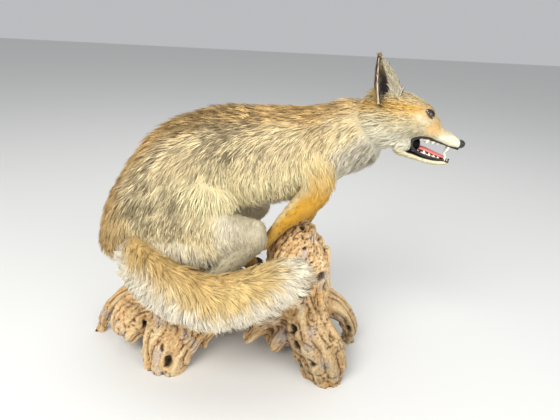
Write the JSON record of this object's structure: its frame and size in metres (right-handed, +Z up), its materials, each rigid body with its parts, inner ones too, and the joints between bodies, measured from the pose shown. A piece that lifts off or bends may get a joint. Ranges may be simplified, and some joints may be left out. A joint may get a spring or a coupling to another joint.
{
  "type": "taxidermy red fox on a root",
  "caption": "Life-size mounted red fox crouching on a gnarled root, neck stretched forward, mouth open, tail brought round its right side.",
  "frame": {"origin": "on the floor under the middle of the whole mount", "axes": "+X the way the fox faces, the longest extent; +Y its left; +Z up"},
  "size_m": [0.6172, 0.3308, 0.536],
  "materials": {
    "coat": "long tan and straw guard hair with dark speckles",
    "pale_coat": "soft cream fur",
    "ochre_coat": "short ochre fur",
    "ear_coat": "short dark brown velvet fur",
    "nose_pad": "painted black, slightly glossy",
    "glass_eye": "polished dark glass eye",
    "tongue": "painted pink red, satin",
    "teeth": "ivory enamel",
    "claw": "dark horn",
    "mouth_lining": "dark modelled lips and palate",
    "root_wood": "sanded weathered root, unvarnished"
  },
  "bodies": {
    "root": {"base_root": "root_wood", "trunk": "coat", "neck": "coat", "head": "coat", "lower_jaw": "pale_coat", "nose": "nose_pad", "tongue": "tongue", "eye_right": "glass_eye", "eye_left": "glass_eye", "ear_right": "ear_coat", "ear_left": "ear_coat", "thigh_right": "coat", "shank_right": "pale_coat", "hind_paw_right": "pale_coat", "thigh_left": "coat", "shank_left": "pale_coat", "hind_paw_left": "pale_coat", "upper_foreleg_right": "ochre_coat", "forearm_right": "ochre_coat", "forepaw_right": "ochre_coat", "upper_foreleg_left": "ochre_coat", "forearm_left": "ochre_coat", "forepaw_left": "ochre_coat", "tail_base": "coat", "tail_middle": "coat", "tail_tip": "pale_coat"}
  },
  "joints": []
}
